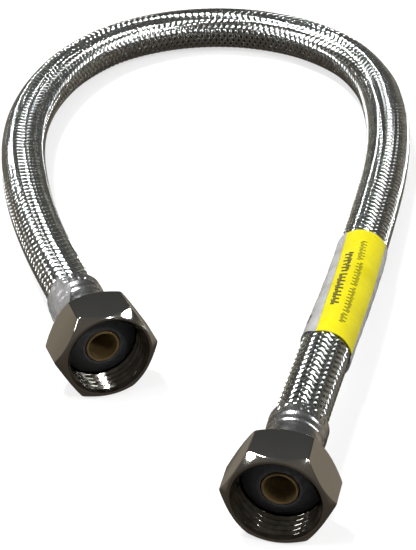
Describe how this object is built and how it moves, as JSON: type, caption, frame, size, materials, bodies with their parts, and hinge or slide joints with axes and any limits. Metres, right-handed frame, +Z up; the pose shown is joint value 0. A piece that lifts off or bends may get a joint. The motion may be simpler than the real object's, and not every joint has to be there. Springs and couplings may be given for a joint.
{
  "type": "braided supply line",
  "caption": "Flexible water supply line: a braided steel hose in an open loop, with a free-turning hexagon nut, cone washer and crimped ferrule on each end.",
  "frame": {"origin": "middle of the whole object's footprint, on the surface it lies on", "axes": "+Z up; +Y along the right-hand fitting's axis, from its mouth towards the hose; +X to the right"},
  "size_m": [0.1318, 0.2632, 0.024],
  "materials": {
    "nut_plating": "polished nickel plating, lightly worn",
    "ferrule_steel": "bright, slightly scuffed",
    "braid_wire": "bright woven wire",
    "brass": "turned",
    "washer_rubber": "matt black",
    "tube_rubber": "matt black",
    "label_yellow": "printed film, slightly scuffed",
    "clear_film": "clear film"
  },
  "bodies": {
    "hose": {"brass_insert_right": "brass", "brass_insert_left": "brass", "cone_washer_right": "washer_rubber", "cone_washer_left": "washer_rubber", "crimp_ferrule_right": "ferrule_steel", "crimp_ferrule_left": "ferrule_steel", "inner_tube": "tube_rubber", "braided_sleeve": "braid_wire", "label_panel": "label_yellow", "label_film": "clear_film", "clear_wrap_left": "clear_film"},
    "nut_right": {"swivel_nut_right": "nut_plating"},
    "nut_left": {"swivel_nut_left": "nut_plating"}
  },
  "joints": [
    {"name": "nut_right_swivel", "type": "hinge", "parent": "hose", "child": "nut_right", "pos_m": [0.05225, -0.1318, 0.012], "axis": [0, 1, 0], "continuous": true},
    {"name": "nut_left_swivel", "type": "hinge", "parent": "hose", "child": "nut_left", "pos_m": [0.0002, -0.0822, 0.012], "axis": [-0.5358, 0.8443, 0], "continuous": true}
  ]
}
